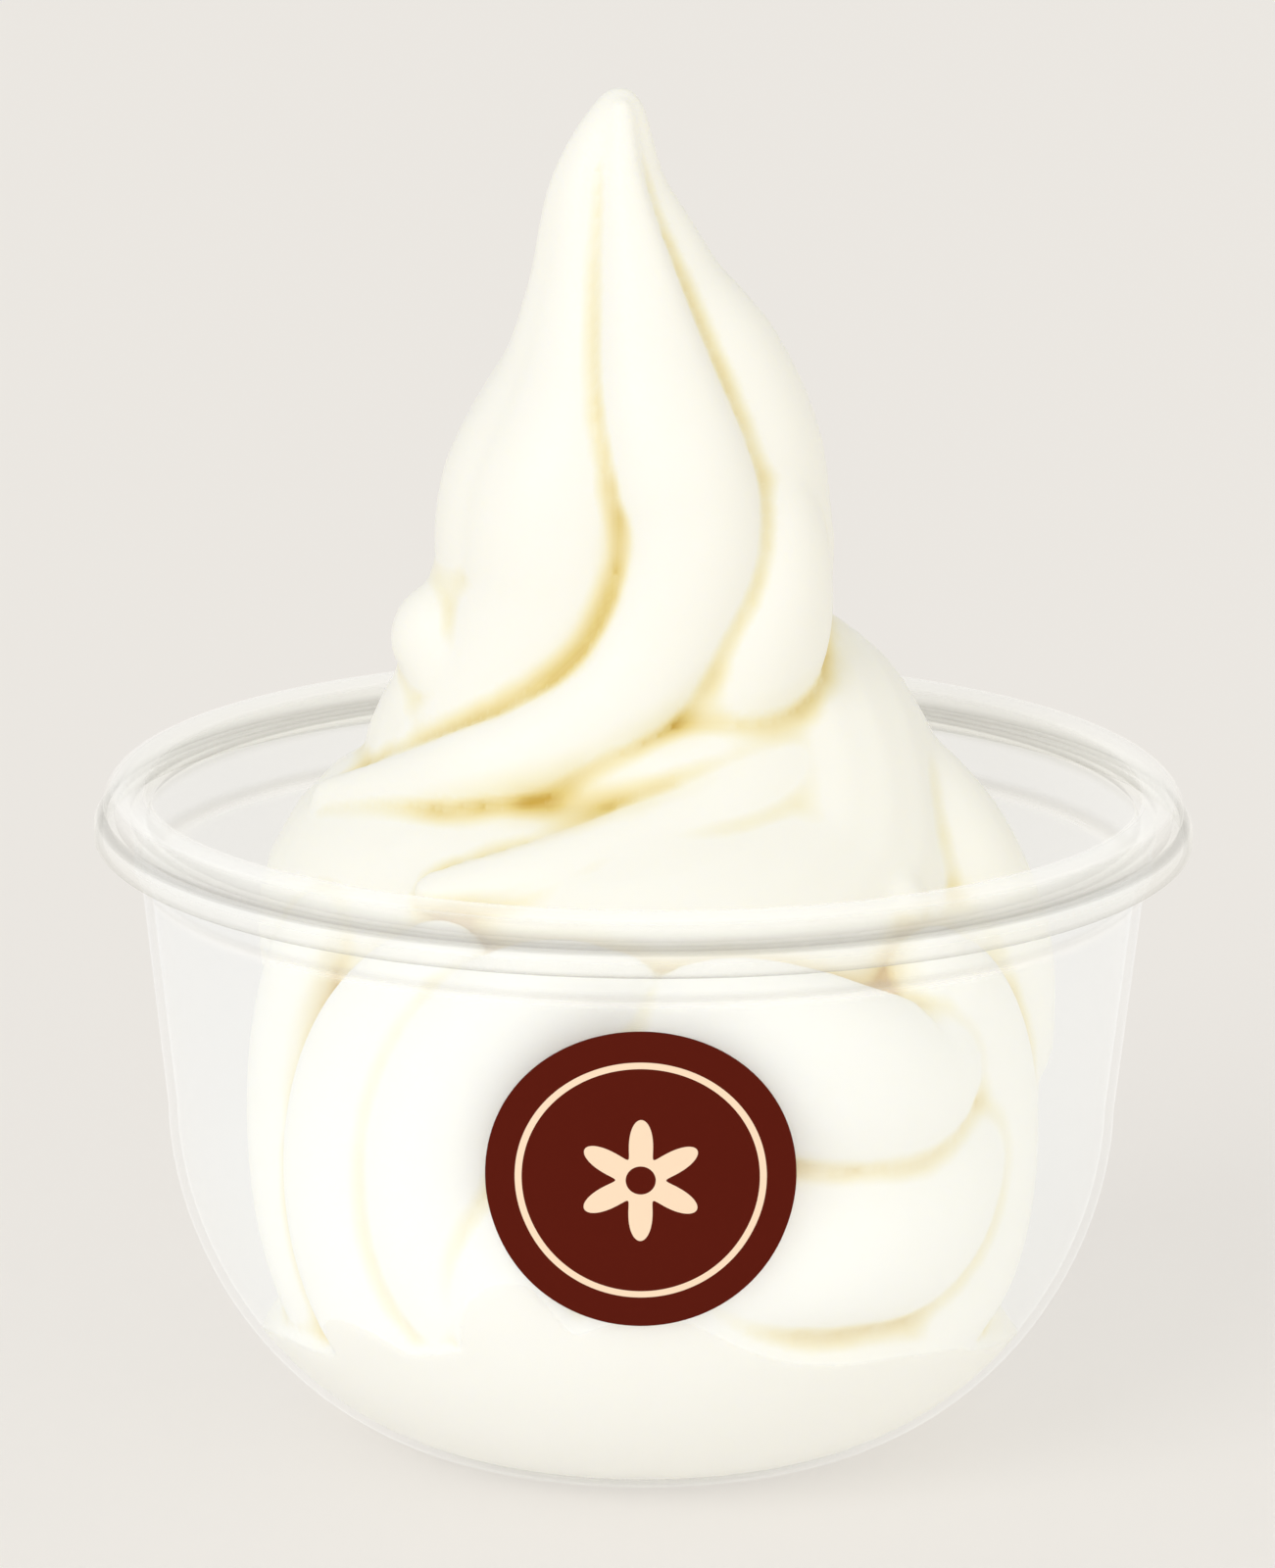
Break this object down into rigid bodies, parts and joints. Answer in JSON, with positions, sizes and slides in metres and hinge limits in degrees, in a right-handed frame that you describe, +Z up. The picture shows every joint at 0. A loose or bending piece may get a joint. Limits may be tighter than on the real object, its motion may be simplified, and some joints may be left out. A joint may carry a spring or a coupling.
{
  "type": "soft serve cup",
  "caption": "Swirl of vanilla soft serve in a clear round plastic cup with a rolled rim, a bowl-shaped base and a round brown label on the front.",
  "frame": {"origin": "middle of the cup's foot, on the surface it stands on", "axes": "+Z up the cup's axis; the label faces -Y"},
  "size_m": [0.098, 0.098, 0.123],
  "materials": {
    "clear_plastic": "clear, glossy",
    "soft_serve": "smooth, soft sheen",
    "label_paper": "satin print"
  },
  "bodies": {
    "root": {"cup": "clear_plastic", "soft_serve": "soft_serve", "label": "label_paper"}
  },
  "joints": []
}
